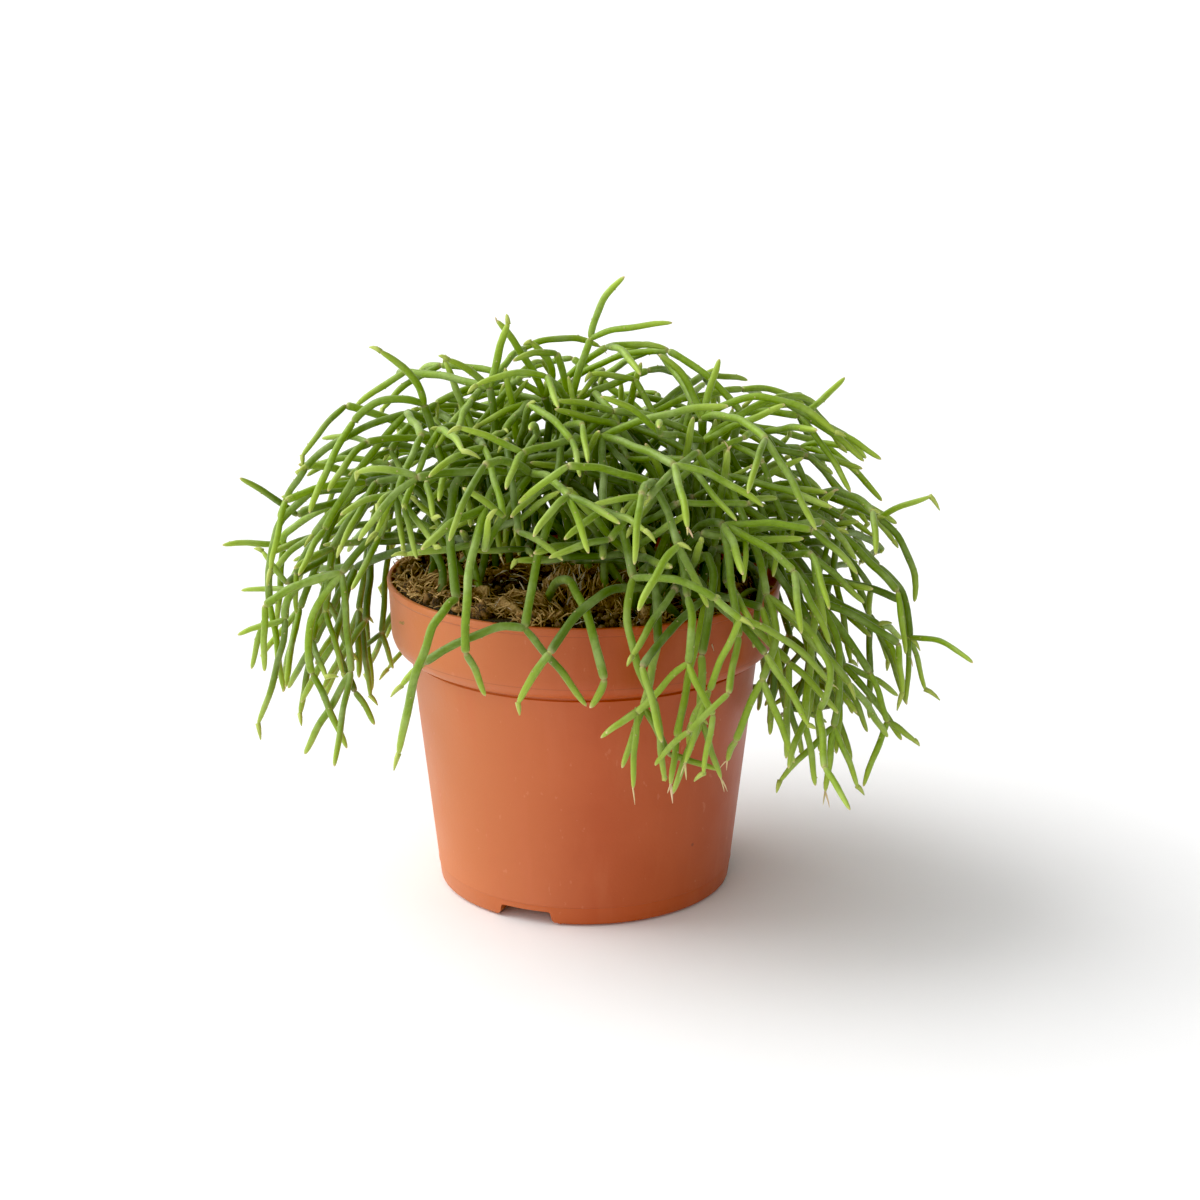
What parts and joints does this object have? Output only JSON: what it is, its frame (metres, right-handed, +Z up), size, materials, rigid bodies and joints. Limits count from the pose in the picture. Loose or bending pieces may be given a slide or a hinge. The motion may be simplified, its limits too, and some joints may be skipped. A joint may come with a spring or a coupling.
{
  "type": "potted plant",
  "caption": "Coral cactus in a round terracotta-coloured plastic nursery pot: thin green branching stems rise from peat plugs, arch over the rim and hang down all round.",
  "frame": {"origin": "centre of the pot's foot, on the surface that it stands on", "axes": "+Z up along the pot's axis, +X to the right and -Y to the front as the plant is seen, with the bare patch of soil at the front left"},
  "size_m": [0.2257, 0.1993, 0.1886],
  "materials": {
    "pot_plastic": "satin terracotta-coloured moulded plastic",
    "peat": "dark moist peat",
    "plug_fibre": "dry brown peat and coir fibre",
    "stem_green": "smooth waxy green skin, matt"
  },
  "bodies": {
    "root": {"pot": "pot_plastic", "soil": "peat", "fibre_plug_back": "plug_fibre", "fibre_plug_back_left": "plug_fibre", "fibre_plug_front": "plug_fibre", "fibre_plug_front_left": "plug_fibre", "fibre_plug_front_right": "plug_fibre", "fibre_plug_left": "plug_fibre", "fibre_plug_right": "plug_fibre", "arch_back": "stem_green", "arch_left": "stem_green", "arch_left_far": "stem_green", "arch_left_high": "stem_green", "arch_right": "stem_green", "arch_right_high": "stem_green", "crown_far_left": "stem_green", "crown_far_right": "stem_green", "crown_left": "stem_green", "crown_left_back": "stem_green", "crown_right": "stem_green", "crown_tall": "stem_green", "hanger_left": "stem_green", "hanger_left_low": "stem_green", "hanger_right": "stem_green", "spray_01": "stem_green", "spray_02": "stem_green", "spray_03": "stem_green", "spray_04": "stem_green", "spray_05": "stem_green", "spray_06": "stem_green", "spray_07": "stem_green", "spray_08": "stem_green", "spray_09": "stem_green", "spray_10": "stem_green", "spray_11": "stem_green", "spray_12": "stem_green", "spray_15": "stem_green", "spray_17": "stem_green", "spray_18": "stem_green", "spray_19": "stem_green", "spray_20": "stem_green", "spray_23": "stem_green", "spray_27": "stem_green", "spray_28": "stem_green", "spray_30": "stem_green", "spray_31": "stem_green", "spray_32": "stem_green", "spray_33": "stem_green", "spray_35": "stem_green", "spray_41": "stem_green", "trailer_corner_right": "stem_green", "trailer_front_forked": "stem_green", "trailer_front_left": "stem_green", "trailer_front_low": "stem_green", "trailer_front_middle": "stem_green", "trailer_front_short": "stem_green", "trailer_right_forked": "stem_green", "trailer_right_inner": "stem_green", "trailer_right_long": "stem_green", "trailer_right_outer": "stem_green"}
  },
  "joints": []
}
